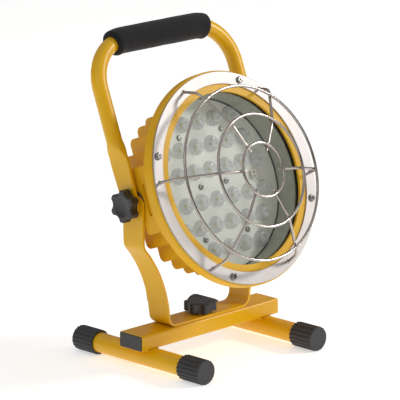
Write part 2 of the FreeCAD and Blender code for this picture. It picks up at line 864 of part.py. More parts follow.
def led_leads():
    """Two wires from the driver's side of the back plate through to the LED board."""
    length = driver_depth - plate_front
    return group([Part.makeCylinder(lead_radius, length, V(lead_x, at_depth(plate_front), z), Y)
                  for z in (-lead_spread, lead_spread)])


def cover_places():
    return list(ring_places(cover_screw_circle, FULL / cover_screw_count / 2, cover_screw_count))


def cover_disc(front, thick, bore, screw_gap):
    disc = Part.makeCylinder(core_radius, thick, V(0, at_depth(front), 0), Y)
    if bore:
        disc = disc.cut(Part.makeCylinder(bore, thick, V(0, at_depth(front), 0), Y))
    for x, z in cover_places():
        start = V(x, at_depth(front), z)
        disc = disc.cut(Part.makeCylinder(cover_screw_radius + screw_gap, thick, start, Y))
    return disc


def cover_gasket():
    return cover_disc(core_back, cover_gasket_thick, core_bore, bore_gap)


def rear_cover():
    front = core_back + cover_gasket_thick
    disc = cover_disc(front, cover_thick, 0, bore_gap)
    back = at_depth(front + cover_thick)
    disc = fillet_where(disc, 1.2, lambda e: on_plane(e, "y", back) and e.BoundBox.XLength > core_radius)
    return disc.cut(Part.makeCylinder(gland_thread + snug_gap, cover_thick, V(0, at_depth(front), gland_z), Y))


def cover_screws():
    screw = spun(pan_screw(3.8, 2.4, cover_screw_radius, 12.0), 180, X)
    y = at_depth(core_back + cover_gasket_thick + cover_thick)
    return group([moved(screw, V(x, y, z)) for x, z in cover_places()])


def on_gland(shape):
    """Moves a piece that stands along +Z on to the rear cover's gland hole, pointing back."""
    back = core_back + cover_gasket_thick + cover_thick
    return moved(spun(shape, -90, X), V(0, at_depth(back), gland_z))


def hexagon(radius, height, z):
    points = [(radius * math.cos(math.radians(60 * i)), radius * math.sin(math.radians(60 * i)), z)
              for i in range(6)]
    return face_of(points).extrude(V(0, 0, height))


def gland_body():
    """Threaded barrel through the cover, a hexagon, and the collet that the nut closes."""
    barrel = Part.makeCylinder(gland_thread, cover_thick + 7, V(0, 0, -cover_thick - 7), Z)
    flange = hexagon(gland_flange, gland_flange_thick, 0)
    neck = Part.makeCylinder(gland_dome_radius - 2.5, 8, V(0, 0, gland_flange_thick), Z)
    body = barrel.fuse(flange).fuse(neck).removeSplitter()
    body = body.cut(Part.makeCylinder(gland_bore + 2, 40, V(0, 0, gland_flange_thick - 1), Z))
    return on_gland(body.cut(Part.makeCylinder(gland_bore, 40, V(0, 0, -20), Z)))


def gland_locknut():
    nut = hexagon(gland_flange, 4, -cover_thick - 4)
    return on_gland(nut.cut(Part.makeCylinder(gland_thread, 10, V(0, 0, -cover_thick - 6), Z)))


def gland_seal():
    """The rubber bush that grips the cable."""
    bush = Part.makeCylinder(gland_bore + 2, 12, V(0, 0, gland_flange_thick - 1), Z)
    return on_gland(bush.cut(Part.makeCylinder(gland_cable, 12, V(0, 0, gland_flange_thick - 1), Z)))


def gland_nut():
    """The ribbed dome nut."""
    start = gland_flange_thick + 0.5
    nut = Part.makeCylinder(gland_dome_radius, gland_dome_length, V(0, 0, start), Z)
    top = start + gland_dome_length
    nut = fillet_where(nut, 4.0, lambda e: on_plane(e, "z", top))
    for i in range(12):
        a = math.radians(30 * i)
        distance = gland_dome_radius + 1.0
        centre = V(distance * math.cos(a), distance * math.sin(a), start)
        nut = nut.cut(Part.makeCylinder(1.6, gland_dome_length - 5, centre, Z))
    nut = nut.cut(Part.makeCylinder(gland_dome_radius - 2.5, 7.5, V(0, 0, start), Z))
    nut = nut.cut(Part.makeCylinder(gland_bore + 2, gland_flange_thick + 11 - start, V(0, 0, start), Z))
    return on_gland(nut.cut(Part.makeCylinder(gland_bore, 40, V(0, 0, start), Z)))


def lug_washer(side):
    """The fibre washer between a lug and the yoke's arm."""
    return outward(flat_washer(lug_washer_radius, hole_radius, lug_washer_thick), side, lug_face)


# ---- handle, built about the pivot with its arms up +Z
def handle_flat():
    """One flattened end: a round tip about the pivot bolt, and a blade whose edges are tangent to it."""
    r = flat_width / 2
    half_top = flat_top_width / 2
    flare = math.acos(r / math.hypot(half_top, flat_end)) - math.atan2(flat_end, half_top)
    foot_y = r * math.cos(flare)
    foot_z = -r * math.sin(flare)
    outline = [(flat_x, -foot_y, foot_z), (flat_x, foot_y, foot_z),
               (flat_x, half_top, flat_end), (flat_x, -half_top, flat_end)]
    blade = face_of(outline).extrude(V(flat_thick, 0, 0))
    return Part.makeCylinder(r, flat_thick, V(flat_x, 0, 0), X).fuse(blade)


def handle_taper():
    """Where the flattened end swells into round tube. It starts inside the flat."""
    steps = 4
    first = flat_top_width - 2 * taper_bite
    wires = [arm_section(first, flat_thick - taper_bite / 2, flat_end - taper_sunk)]
    for i in range(steps + 1):
        t = i / steps
        ease = t * t * (3 - 2 * t)
        start = flat_top_width + taper_bite / 2
        width = start + (2 * tube_radius - start) * ease
        start = flat_thick + taper_bite / 2
        thick = start + (2 * tube_radius - start) * ease
        wires.append(arm_section(width, thick, flat_end + (round_start - flat_end) * t))
    return Part.makeLoft(wires, True, False)


def arm_section(width, thick, height):
    """A closed curve between a rounded slot and a circle, at a height up the arm."""
    sides = 24
    points = []
    for i in range(sides):
        a = 2 * math.pi * i / sides
        square = 2.0 + 6.0 * (1 - thick / width)
        c = math.cos(a)
        s = math.sin(a)
        x = abs(c) ** (2 / square) * math.copysign(thick / 2, c)
        y = abs(s) ** (2 / square) * math.copysign(width / 2, s)
        points.append(V(tube_x + x, y, height))
    curve = Part.BSplineCurve()
    curve.interpolate(points, PeriodicFlag=True)
    return Part.Wire([curve.toShape()])


def handle_bow():
    """The path of the round tube from one taper to the other."""
    points = [V(tube_x, 0, round_start), V(tube_x, 0, handle_height),
              V(-tube_x, 0, handle_height), V(-tube_x, 0, round_start)]
    return rounded_path(points, [handle_bend, handle_bend])


def handle_tube():
    path = handle_bow()
    start = V(tube_x, 0, round_start)
    tube = swept(path, arm_section(2 * tube_radius, 2 * tube_radius, round_start))
    tube = tube.cut(swept(path, circle_at(start, Z, tube_radius - tube_wall)))
    side = handle_flat().fuse(handle_taper())
    for end in (side, mirrored(side)):
        tube = tube.fuse(end)
    reach = flat_x + flat_thick + 1
    return tube.cut(Part.makeCylinder(hole_radius, 2 * reach, V(-reach, 0, 0), X)).removeSplitter()


def grip_path():
    """The grip's middle line: the level run, and part of each bend."""
    a = math.radians(grip_sweep)
    centre_x = tube_x - handle_bend
    centre_z = handle_height - handle_bend

    def on_bend(angle, side):
        return V(side * (centre_x + handle_bend * math.sin(angle)), 0, centre_z + handle_bend * math.cos(angle))
    left = Part.Arc(on_bend(a, -1), on_bend(a / 2, -1), on_bend(0, -1)).toShape()
    level = Part.LineSegment(on_bend(0, -1), on_bend(0, 1)).toShape()
    right = Part.Arc(on_bend(0, 1), on_bend(a / 2, 1), on_bend(a, 1)).toShape()
    return Part.Wire([left, level, right]), on_bend(a, -1), V(math.cos(a), 0, math.sin(a))


def foam_grip():
    path, start, along = grip_path()
    foam = swept(path, circle_at(start, along, grip_radius))
    foam = fillet_where(foam, grip_round, lambda e: abs(e.Length - 2 * math.pi * grip_radius) < 1e-3
                        and abs(e.BoundBox.Center.x) > tube_x - handle_bend + 5)
    return foam.cut(swept(path, circle_at(start, along, tube_radius)))


def nylon_washer(side):
    return outward(flat_washer(nylon_washer_radius, hole_radius, nylon_washer_thick), side, nylon_x)


# ---- clamping screws
def pivot_washer(side):
    return outward(flat_washer(steel_washer_radius, hole_radius, steel_washer_height), side, washer_x)


def pivot_knob(side):
    return outward(star_knob(bolt_radius), side, knob_x)


def pivot_stud(side):
    start = lug_face - stud_grip
    stud = Part.makeCylinder(bolt_radius, knob_x + stud_in_knob - start)
    return outward(stud, side, start)


def base_washer():
    return moved(flat_washer(steel_washer_radius, hole_radius, steel_washer_height), V(0, 0, base_washer_z))


def base_knob():
    return moved(spun(star_knob(hole_radius), 12, Z), V(0, 0, base_knob_z))


# ---- placing and writing
def on_stand(shape):
    return moved(shape, V(0, pan_y, 0))


def at_pivot(shape, lean):
    return moved(spun(shape, -lean, X), V(0, pan_y, pivot_z))


def in_lamp(shape):
    return at_pivot(shape, lamp_tilt)


def in_handle(shape):
    return at_pivot(shape, handle_lean)


def on_arm(shape):
    return at_pivot(shape, 0)


def stand_nodes():
    nodes = {"crossbar": crossbar(), "stand_welds": stand_welds(), "pan_bolt": carriage_bolt()}
    for side, name in ((-1, "left"), (1, "right")):
        nodes[f"{name}_leg"] = leg(side)
        nodes[f"{name}_bar_plug"] = bar_plug(side)
        for end, place in ((-1, "front"), (1, "rear")):
            nodes[f"{place}_{name}_foot"] = foot(side, end)
    return nodes


def yoke_nodes():
    return {"yoke_strap": yoke_strap(), "cable_clip": cable_clip(), "clip_screw": clip_screw(),
            "base_washer": base_washer(), "base_knob": base_knob()}


def lamp_nodes():
    nodes = {"lamp_drum": drum(), "heat_sink": heat_sink(), "front_bezel": bezel(), "front_glass": glass(),
             "glass_gasket": glass_gasket(), "reflector_sleeve": reflector_sleeve(),
             "guard_ring": guard_ring(), "guard_screws": guard_screws(), "guard_spokes": guard_spokes(),
             "led_board": led_board(), "board_screws": board_screws(), "led_chips": led_chips(),
             "led_lenses": lenses(), "terminal_block": terminal_block(), "driver_board": driver_board(),
             "driver_screws": driver_screws(), "driver_transformer": driver_transformer(),
             "driver_capacitors": driver_capacitors(), "led_leads": led_leads(),
             "cover_gasket": cover_gasket(), "rear_cover": rear_cover(), "cover_screws": cover_screws(),
             "gland_body": gland_body(), "gland_locknut": gland_locknut(), "gland_seal": gland_seal(),
             "gland_nut": gland_nut(), "left_lug_washer": lug_washer(-1), "right_lug_washer": lug_washer(1)}
    for name, (radius, height) in hoops.items():
        nodes[name] = guard_hoop(radius, height)
    return nodes


def handle_nodes():
    return {"handle_tube": handle_tube(), "foam_grip": foam_grip(),
            "left_handle_washer": nylon_washer(-1), "right_handle_washer": nylon_washer(1)}


def clamp_nodes():
    nodes = {}
    for side, name in ((-1, "left"), (1, "right")):
        nodes[f"{name}_clamp_washer"] = pivot_washer(side)
        nodes[f"{name}_knob"] = pivot_knob(side)
        nodes[f"{name}_knob_stud"] = pivot_stud(side)
    return nodes


def main():
    os.makedirs("parts", exist_ok=True)
    sets = ((stand_nodes, on_stand), (yoke_nodes, on_stand), (lamp_nodes, in_lamp),
            (handle_nodes, in_handle), (clamp_nodes, on_arm))
    for make, place in sets:
        for name, shape in make().items():
            place(shape).exportStep(f"parts/{name}.step")


main()
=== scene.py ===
import json
import math

import bmesh
import bpy
from mathutils import Matrix, Vector


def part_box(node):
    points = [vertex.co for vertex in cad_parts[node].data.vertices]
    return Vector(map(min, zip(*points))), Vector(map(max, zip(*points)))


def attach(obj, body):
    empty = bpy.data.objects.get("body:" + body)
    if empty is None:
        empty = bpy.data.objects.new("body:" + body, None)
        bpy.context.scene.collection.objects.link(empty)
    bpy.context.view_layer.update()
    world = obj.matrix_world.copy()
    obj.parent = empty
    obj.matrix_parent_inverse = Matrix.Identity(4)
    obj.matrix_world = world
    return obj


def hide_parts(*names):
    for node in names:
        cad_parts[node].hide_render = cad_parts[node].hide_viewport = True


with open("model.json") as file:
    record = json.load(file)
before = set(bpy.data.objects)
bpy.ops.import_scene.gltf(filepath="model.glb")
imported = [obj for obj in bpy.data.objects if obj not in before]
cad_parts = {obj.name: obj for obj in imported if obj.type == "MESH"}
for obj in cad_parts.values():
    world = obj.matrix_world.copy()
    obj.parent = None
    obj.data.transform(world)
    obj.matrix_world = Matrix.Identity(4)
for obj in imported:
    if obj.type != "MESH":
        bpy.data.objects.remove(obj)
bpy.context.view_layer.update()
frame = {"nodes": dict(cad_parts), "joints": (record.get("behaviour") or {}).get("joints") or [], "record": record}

bl_info = {
    "name": "LED work light",
    "version": (1, 0, 0),
    "blender": (4, 5, 0),
    "location": "3D View > Sidebar > Work light",
    "description": "Finishes, foam grip, welds and small fittings of a tilting LED work light",
    "category": "Object",
}

MM = 0.001
HAIR_GAP = 0.05 * MM  # between pieces that touch, so that no two faces share a plane
ROLL_STEPS = 8        # from the grip's side round to its end face
LENS_SIDES = 24
SHADE_SEAL_SIDES = 96
BEAD_SLICES = 84      # along each weld bead, so that its ripples are smooth
FLOOR_REACH = 12.0
RECORD = frame["record"]
JOINTS = {joint["name"]: joint for joint in frame["joints"]}
MOUNTS = {mount["name"]: mount for mount in RECORD["mounts"]}
PIVOT = Vector(JOINTS["lamp_tilt"]["pos_m"])
GLAND_AXIS = Vector(MOUNTS["cable_gland"]["axis"])
LAMP_TILT = math.atan2(-GLAND_AXIS.z, GLAND_AXIS.y)
LAMP_PLACE = Matrix.Translation(PIVOT) @ Matrix.Rotation(-LAMP_TILT, 4, "X")


def linear(hex_colour):
    """An sRGB hex colour as the linear values that shaders take."""
    parts = [int(hex_colour[i:i + 2], 16) / 255 for i in (1, 3, 5)]
    return tuple(c / 12.92 if c <= 0.04045 else ((c + 0.055) / 1.055) ** 2.4 for c in parts)


def colour_setting(name, description, hex_colour):
    """A colour that a user may change."""
    return bpy.props.FloatVectorProperty(name=name, description=description, subtype="COLOR",
                                         size=3, min=0, max=1, default=linear(hex_colour))


def length_setting(name, description, millimetres):
    """A length that a user may change, kept in metres."""
    return bpy.props.FloatProperty(name=name, description=description, unit="LENGTH",
                                   default=millimetres * MM)


def angle_setting(name, description, degrees):
    """An angle that a user may change."""
    return bpy.props.FloatProperty(name=name, description=description, unit="ROTATION",
                                   default=math.radians(degrees))


def power_setting(name, description, watts):
    """A light's power that a user may change."""
    return bpy.props.FloatProperty(name=name, description=description, unit="POWER", default=watts)


class FinishSettings(bpy.types.PropertyGroup):
    """Colours of the finishes."""
    yellow: colour_setting("Yellow", "Powder coat on the steel tubes and strap", "#EAB300")
    yellow_casting: colour_setting("Casting yellow", "Powder coat on the die casting", "#E6AE00")
    rubber: colour_setting("Rubber", "Moulded rubber feet and seals", "#2B2B2E")
    nylon: colour_setting("Nylon", "Moulded knobs, plugs and gland", "#242427")
    foam: colour_setting("Foam", "Closed-cell foam of the grip", "#161618")
    stainless: colour_setting("Stainless", "Brushed stainless sheet", "#BEB8B4")
    wire: colour_setting("Wire", "Drawn stainless wire", "#B8AFA9")
    zinc: colour_setting("Zinc", "Plated screws, washers and studs", "#93918E")
    board: colour_setting("Board", "White solder mask of the LED board", "#F0F1E5")
    sleeve: colour_setting("Sleeve", "Grey ring between glass and board", "#BFBFB0")
    lens: colour_setting("Lens", "Clear acrylic of the lenses", "#B4BDBF")


class GripSettings(bpy.types.PropertyGroup):
    """Sizes of the foam grip, in the handle's own plane."""
    lean: angle_setting("Lean", "How far the handle leans back at rest", 20.7)
    height: length_setting("Height", "From the pivot to the middle of the grip", 200.3)
    bend: length_setting("Bend", "Radius of the tube's bends", 55.0)
    half_width: length_setting("Half width", "From the middle to the tube's arms", 116.45)
    tube: length_setting("Tube", "Radius of the handle's tube", 10.0)
    radius: length_setting("Radius", "Outer radius of the foam", 16.7)
    rounding: length_setting("Rounding", "Radius of the foam's rounded ends", 5.0)
    sweep: angle_setting("Sweep", "How much of each bend the foam covers", 20.0)


class GuardSettings(bpy.types.PropertyGroup):
    """Sizes of the wire guard, measured from the front face of its ring."""
    ahead: length_setting("Ahead", "From the pivot axis to the ring's front face", 70.3)
    outer_radius: length_setting("Outer hoop", "Radius of the outer hoop", 109.0)
    middle_radius: length_setting("Middle hoop", "Radius of the middle hoop", 70.2)
    inner_radius: length_setting("Inner hoop", "Radius of the inner hoop", 33.7)
    outer_height: length_setting("Outer height", "Outer hoop ahead of the ring", 29.6)
    middle_height: length_setting("Middle height", "Middle hoop ahead of the ring", 46.6)
    inner_height: length_setting("Inner height", "Inner hoop ahead of the ring", 50.15)
    foot_radius: length_setting("Foot circle", "Radius of the circle of the spokes' feet", 126.5)
    wire: length_setting("Wire", "Radius of the wire", 1.75)
    first_spoke: angle_setting("First spoke", "Angle of the first spoke from straight up", -23.0)
    spokes: bpy.props.IntProperty(name="Spokes", description="Number of spokes", default=6)


class LensSettings(bpy.types.PropertyGroup):
    """Optics, and the black ring round their board, which stands in for the shade of the narrow gap there."""
    height: length_setting("Height", "From the board to the top of an optic", 8.7)
    base: length_setting("Base", "Radius of the foot", 10.5)
    rim: length_setting("Foot height", "Height of the foot", 1.4)
    top: length_setting("Top", "Radius of the top", 7.7)
    rounding: length_setting("Rounding", "Radius of the top's edge", 1.3)
    dimple_radius: length_setting("Dimple", "Radius of the dimple", 3.6)
    dimple_depth: length_setting("Dimple depth", "Depth of the dimple", 1.8)
    sleeve_wall: length_setting("Sleeve wall", "Wall of the grey sleeve in front of the board", 1.0)
    # the ring's black is painted shade: the real lamp has only a shadowed gap at the board's edge
    shade_seal_width: length_setting("Seal width", "Width of the seal round the board", 1.3)
    shade_seal_height: length_setting("Seal height", "How far the seal stands off the board", 1.6)


class StageSettings(bpy.types.PropertyGroup):
    """Floor, lights and camera."""
    camera_place: bpy.props.FloatVectorProperty(name="Camera place",
                                                description="Where the camera stands",
                                                subtype="TRANSLATION", size=3,
                                                default=(-2.71265, -2.75396, 1.16471))
    camera_turn: angle_setting("Camera turn", "Heading of the view from +Y towards +X", 44.473)
    camera_dip: angle_setting("Camera dip", "How far the view points down", 14.048)
    camera_roll: angle_setting("Camera roll", "Roll of the view", -0.548)
    focal: bpy.props.FloatProperty(name="Focal length", description="Focal length", unit="CAMERA",
                                   default=287.83)
    key_power: power_setting("Key", "Power of the key light", 35.0)
    fill_power: power_setting("Fill", "Power of the fill light", 6.0)
    sky: bpy.props.FloatProperty(name="Sky", description="Strength of the even light all round",
                                 default=0.55)
    floor: colour_setting("Floor", "Pale floor", "#F7F7F5")


# ---- materials

def material(name):
    """An empty material and its node tree."""
    made = bpy.data.materials.new(name)
    made.use_nodes = True
    made.node_tree.nodes.clear()
    return made, made.node_tree


def add(tree, kind, settings=None, **links):
    """Adds a node. Settings go to its properties, or to its inputs by name or number; links join
    inputs to another node's output socket."""
    node = tree.nodes.new(kind)
    for key, value in (settings or {}).items():
        if isinstance(key, int) or key in node.inputs.keys():
            node.inputs[key].default_value = value
        else:
            setattr(node, key, value)
    for key, socket in links.items():
        name = int(key[1:]) if key[0] == "i" and key[1:].isdigit() else key.replace("_", " ")
        tree.links.new(socket, node.inputs[name])
    return node


def surface(tree, settings, **links):
    """Adds the main shader and joins it to the material's output."""
    shader = add(tree, "ShaderNodeBsdfPrincipled", settings, **links)
    add(tree, "ShaderNodeOutputMaterial", Surface=shader.outputs[0])


def per(millimetres):
    """The noise scale that gives features of that size."""
    return 1 / (millimetres * MM)


def noise(tree, size, detail=2.0, where=None, roughness=0.5):
    """Noise whose features are size millimetres across."""
    source = where or add(tree, "ShaderNodeTexCoord").outputs["Object"]
    return add(tree, "ShaderNodeTexNoise",
               {"Scale": per(size), "Detail": detail, "Roughness": roughness}, Vector=source)


def spread(tree, value, low, high, start=0.3, end=0.7):
    """Maps a value on to a range."""
    return add(tree, "ShaderNodeMapRange", {1: start, 2: end, 3: low, 4: high}, i0=value)


def tinted(tree, value, colour, dark, light):
    """A colour that a value takes from a little darker to a little lighter."""
    ramp = add(tree, "ShaderNodeValToRGB", Fac=value)
    for stop, gain in zip(ramp.color_ramp.elements, (dark, light)):
        stop.color = [min(1, c * gain) for c in colour] + [1]
    ramp.color_ramp.elements[0].position = 0.3
    ramp.color_ramp.elements[1].position = 0.7
    return ramp.outputs["Color"]


def bumped(tree, height, deep, strength=1.0, after=None):
    """A bump of that depth in millimetres."""
    links = {"Height": height}
    if after:
        links["Normal"] = after
    return add(tree, "ShaderNodeBump", {"Strength": strength, "Distance": deep * MM},
               **links).outputs["Normal"]


def lamp_coordinates(tree):
    """Object coordinates turned upright in the lamp, so that Y is its axis."""
    place = LAMP_PLACE.inverted()
    turn = place.to_euler()
    source = add(tree, "ShaderNodeTexCoord").outputs["Object"]
    return add(tree, "ShaderNodeMapping", {"Location": place.to_translation(), "Rotation": turn},
               Vector=source).outputs["Vector"]


def powder_coated_steel(name, colour, peel, roughness):
    """Baked polyester powder over steel: semi-gloss, with the slight ripple called orange peel. The
    ripple is 1 to 2 mm across and a few hundredths deep, so highlights waver but stay whole."""
    made, tree = material(name)
    broad = noise(tree, 55.0, 2.0)
    fine = noise(tree, peel, 2.0)
    rough = spread(tree, fine.outputs["Fac"], roughness - 0.04, roughness + 0.06)
    normal = bumped(tree, fine.outputs["Fac"], 0.035, 0.5)
    surface(tree, {"IOR": 1.45, "Coat Weight": 0.12, "Coat Roughness": 0.22},
            Base_Color=tinted(tree, broad.outputs["Fac"], colour, 0.95, 1.04),
            Roughness=rough.outputs[0], Normal=normal)
    return made


def coated_die_casting(colour):
    """Powder over die-cast aluminium: the mould's grain, about 1 mm, shows as a matt tooth."""
    made, tree = material("powder_coated_casting")
    broad = noise(tree, 40.0, 3.0)
    grain = noise(tree, 1.1, 3.0)
    normal = bumped(tree, grain.outputs["Fac"], 0.06, 0.6)
    rough = spread(tree, grain.outputs["Fac"], 0.40, 0.55)
    surface(tree, {"IOR": 1.45, "Coat Weight": 0.05, "Coat Roughness": 0.3},
            Base_Color=tinted(tree, broad.outputs["Fac"], colour, 0.93, 1.04),
            Roughness=rough.outputs[0], Normal=normal)
    return made


def turned_stainless(colour):
    """304 stainless sheet with a lathe-brushed face: fine rings round the lamp's axis, under 1 mm
    apart."""
    made, tree = material("brushed_stainless_sheet")
    where = lamp_coordinates(tree)
    split = add(tree, "ShaderNodeSeparateXYZ", Vector=where)
    flat = add(tree, "ShaderNodeCombineXYZ", X=split.outputs["X"], Y=split.outputs["Z"])
    radius = add(tree, "ShaderNodeVectorMath", {"operation": "LENGTH"}, i0=flat.outputs[0])
    lines = add(tree, "ShaderNodeTexNoise",
                {"noise_dimensions": "1D", "Scale": per(0.5), "Detail": 3.0},
                W=radius.outputs["Value"])
    cloud = noise(tree, 30.0, 3.0)
    normal = bumped(tree, lines.outputs["Fac"], 0.01, 0.35)
    rough = spread(tree, lines.outputs["Fac"], 0.46, 0.58)
    surface(tree, {"Metallic": 1.0},
            Base_Color=tinted(tree, cloud.outputs["Fac"], colour, 0.95, 1.03),
            Roughness=rough.outputs[0], Normal=normal)
    return made


def drawn_stainless(colour):
    """Electropolished stainless wire: bright, with faint die marks that break the highlight."""
    made, tree = material("polished_stainless_wire")
    marks = noise(tree, 2.5, 3.0)
    rough = spread(tree, marks.outputs["Fac"], 0.1, 0.2)
    normal = bumped(tree, marks.outputs["Fac"], 0.02, 0.3)
    surface(tree, {"Metallic": 1.0},
            Base_Color=tinted(tree, marks.outputs["Fac"], colour, 0.9, 1.0),
            Roughness=rough.outputs[0], Normal=normal)
    return made


def bright_zinc(colour):
    """Zinc-plated steel, as on catalogue screws: bright grey with a slight cloud from the bath."""
    made, tree = material("zinc_plated_steel")
    cloud = noise(tree, 3.0, 3.0)
    rough = spread(tree, cloud.outputs["Fac"], 0.2, 0.36)
    surface(tree, {"Metallic": 1.0},
            Base_Color=tinted(tree, cloud.outputs["Fac"], colour, 0.88, 1.05),
            Roughness=rough.outputs[0])
    return made


def moulded_rubber(colour):
    """Compression-moulded nitrile rubber: matt, with a soft bloom and a mould grain of 0.6 mm."""
    made, tree = material("moulded_rubber")
    bloom = noise(tree, 14.0, 3.0)
    grain = noise(tree, 0.6, 2.0)
    normal = bumped(tree, grain.outputs["Fac"], 0.03, 0.5)
    rough = spread(tree, bloom.outputs["Fac"], 0.5, 0.64)
    surface(tree, {"IOR": 1.52, "Specular IOR Level": 0.6},
            Base_Color=tinted(tree, bloom.outputs["Fac"], colour, 0.85, 1.25),
            Roughness=rough.outputs[0], Normal=normal)
    return made


def moulded_nylon(colour):
    """Glass-filled nylon, as in star knobs: a spark-eroded grain of 0.7 mm and a dull sheen."""
    made, tree = material("glass_filled_nylon")
    grain = noise(tree, 0.7, 3.0)
    broad = noise(tree, 12.0, 2.0)
    normal = bumped(tree, grain.outputs["Fac"], 0.035, 0.5)
    rough = spread(tree, grain.outputs["Fac"], 0.36, 0.5)
    surface(tree, {"IOR": 1.53, "Specular IOR Level": 0.6},
            Base_Color=tinted(tree, broad.outputs["Fac"], colour, 0.9, 1.15),
            Roughness=rough.outputs[0], Normal=normal)
    return made


def closed_cell_foam(colour):
    """Nitrile foam sleeve: a skin of tiny cut cells, drawn 0.9 mm wide so that they show, that
    scatters light and never shines."""
    made, tree = material("closed_cell_foam")
    where = add(tree, "ShaderNodeTexCoord").outputs["Object"]
    cells = add(tree, "ShaderNodeTexVoronoi", {"Scale": per(0.9), "Randomness": 1.0}, Vector=where)
    mottle = noise(tree, 2.2, 4.0, where, 0.65)
    normal = bumped(tree, mottle.outputs["Fac"], 0.12, 0.5)
    normal = bumped(tree, cells.outputs["Distance"], 0.18, 0.55, normal)
    surface(tree, {"IOR": 1.45, "Roughness": 0.88, "Specular IOR Level": 0.35, "Sheen Weight": 0.12,
                   "Sheen Roughness": 0.5},
            Base_Color=tinted(tree, mottle.outputs["Fac"], colour, 0.75, 1.5), Normal=normal)
    return made


def tempered_glass():
    """Flat tempered soda-lime glass: all but invisible face on, mirror-like at a glancing angle,
    with a green cast. It lets the light through without bending it, as a thin flat sheet does."""
    made, tree = material("tempered_glass")
    facing = add(tree, "ShaderNodeLayerWeight", {"Blend": 0.5})
    glancing = add(tree, "ShaderNodeMath", {"operation": "POWER", 1: 4.0},
                   i0=facing.outputs["Facing"])
    cover = spread(tree, glancing.outputs[0], 0.05, 0.85, 0.0, 0.6)
    surface(tree, {"Base Color": (*linear("#7E8C84"), 1), "IOR": 1.52, "Roughness": 0.02,
                   "Specular IOR Level": 1.0}, Alpha=cover.outputs[0])
    return made


def clear_acrylic(colour):
    """Moulded clear acrylic optics. Their walls turn light away inside and read as grey; their tops let the pale
    board through. That grey and that brightness are painted in. How far the surface faces the way the lamp looks
    gives the walls a darker colour and the tops a lighter one, and lets more of the board show through the tops."""
    made, tree = material("clear_acrylic")
    faces = add(tree, "ShaderNodeTexCoord").outputs["Normal"]
    ahead = LAMP_PLACE.to_3x3() @ Vector((0, -1, 0))
    along = add(tree, "ShaderNodeVectorMath", {"operation": "DOT_PRODUCT", 1: ahead}, i0=faces)
    top = add(tree, "ShaderNodeMath", {"operation": "ABSOLUTE"}, i0=along.outputs["Value"])
    # painted shade and light: walls darker and more opaque, tops lighter and more see-through, by which way they
    # face
    cover = spread(tree, top.outputs[0], 0.8, 0.28, 0.3, 0.98)
    ramp = add(tree, "ShaderNodeValToRGB", Fac=top.outputs[0])
    for stop, place, gain in zip(ramp.color_ramp.elements, (0.3, 0.98), (0.9, 1.6)):
        stop.position = place
        stop.color = [min(1, c * gain) for c in colour] + [1]
    surface(tree, {"IOR": 1.49, "Roughness": 0.16, "Specular IOR Level": 0.7, "Coat Weight": 1.0,
                   "Coat Roughness": 0.05}, Base_Color=ramp.outputs["Color"],
            Alpha=cover.outputs[0])
    return made


def white_solder_mask(colour):
    """White solder mask over copper on aluminium: an even satin cream. The copper areas under it,
    about 27 mm across, lift it a hair and show as a faint change of tone."""
    made, tree = material("white_solder_mask")
    where = lamp_coordinates(tree)
    split = add(tree, "ShaderNodeSeparateXYZ", Vector=where)
    flat = add(tree, "ShaderNodeCombineXYZ", X=split.outputs["X"], Y=split.outputs["Z"])
    areas = add(tree, "ShaderNodeTexVoronoi",
                {"feature": "DISTANCE_TO_EDGE", "voronoi_dimensions": "2D", "Scale": per(27.0),
                 "Randomness": 0.55}, Vector=flat.outputs[0])
    lift = spread(tree, areas.outputs["Distance"], 0.0, 1.0, 0.0, 0.06)
    cloud = noise(tree, 18.0, 3.0, where)
    both = add(tree, "ShaderNodeMath", {"operation": "MULTIPLY_ADD", 1: 0.35}, i0=lift.outputs[0],
               i2=cloud.outputs["Fac"])
    normal = bumped(tree, lift.outputs[0], 0.05, 0.6)
    surface(tree, {"IOR": 1.5, "Roughness": 0.45},
            Base_Color=tinted(tree, both.outputs[0], colour, 0.9, 1.02), Normal=normal)
    return made


def plain_moulding(name, colour, roughness, grain_size):
    """A small moulded or wound piece: even colour with a little cloud, and a fine grain."""
    made, tree = material(name)
    cloud = noise(tree, 8.0, 3.0)
    grain = noise(tree, grain_size, 2.0)
    normal = bumped(tree, grain.outputs["Fac"], 0.02, 0.4)
    surface(tree, {"Roughness": roughness, "Metallic": 0.0},
            Base_Color=tinted(tree, cloud.outputs["Fac"], colour, 0.88, 1.08), Normal=normal)
    return made


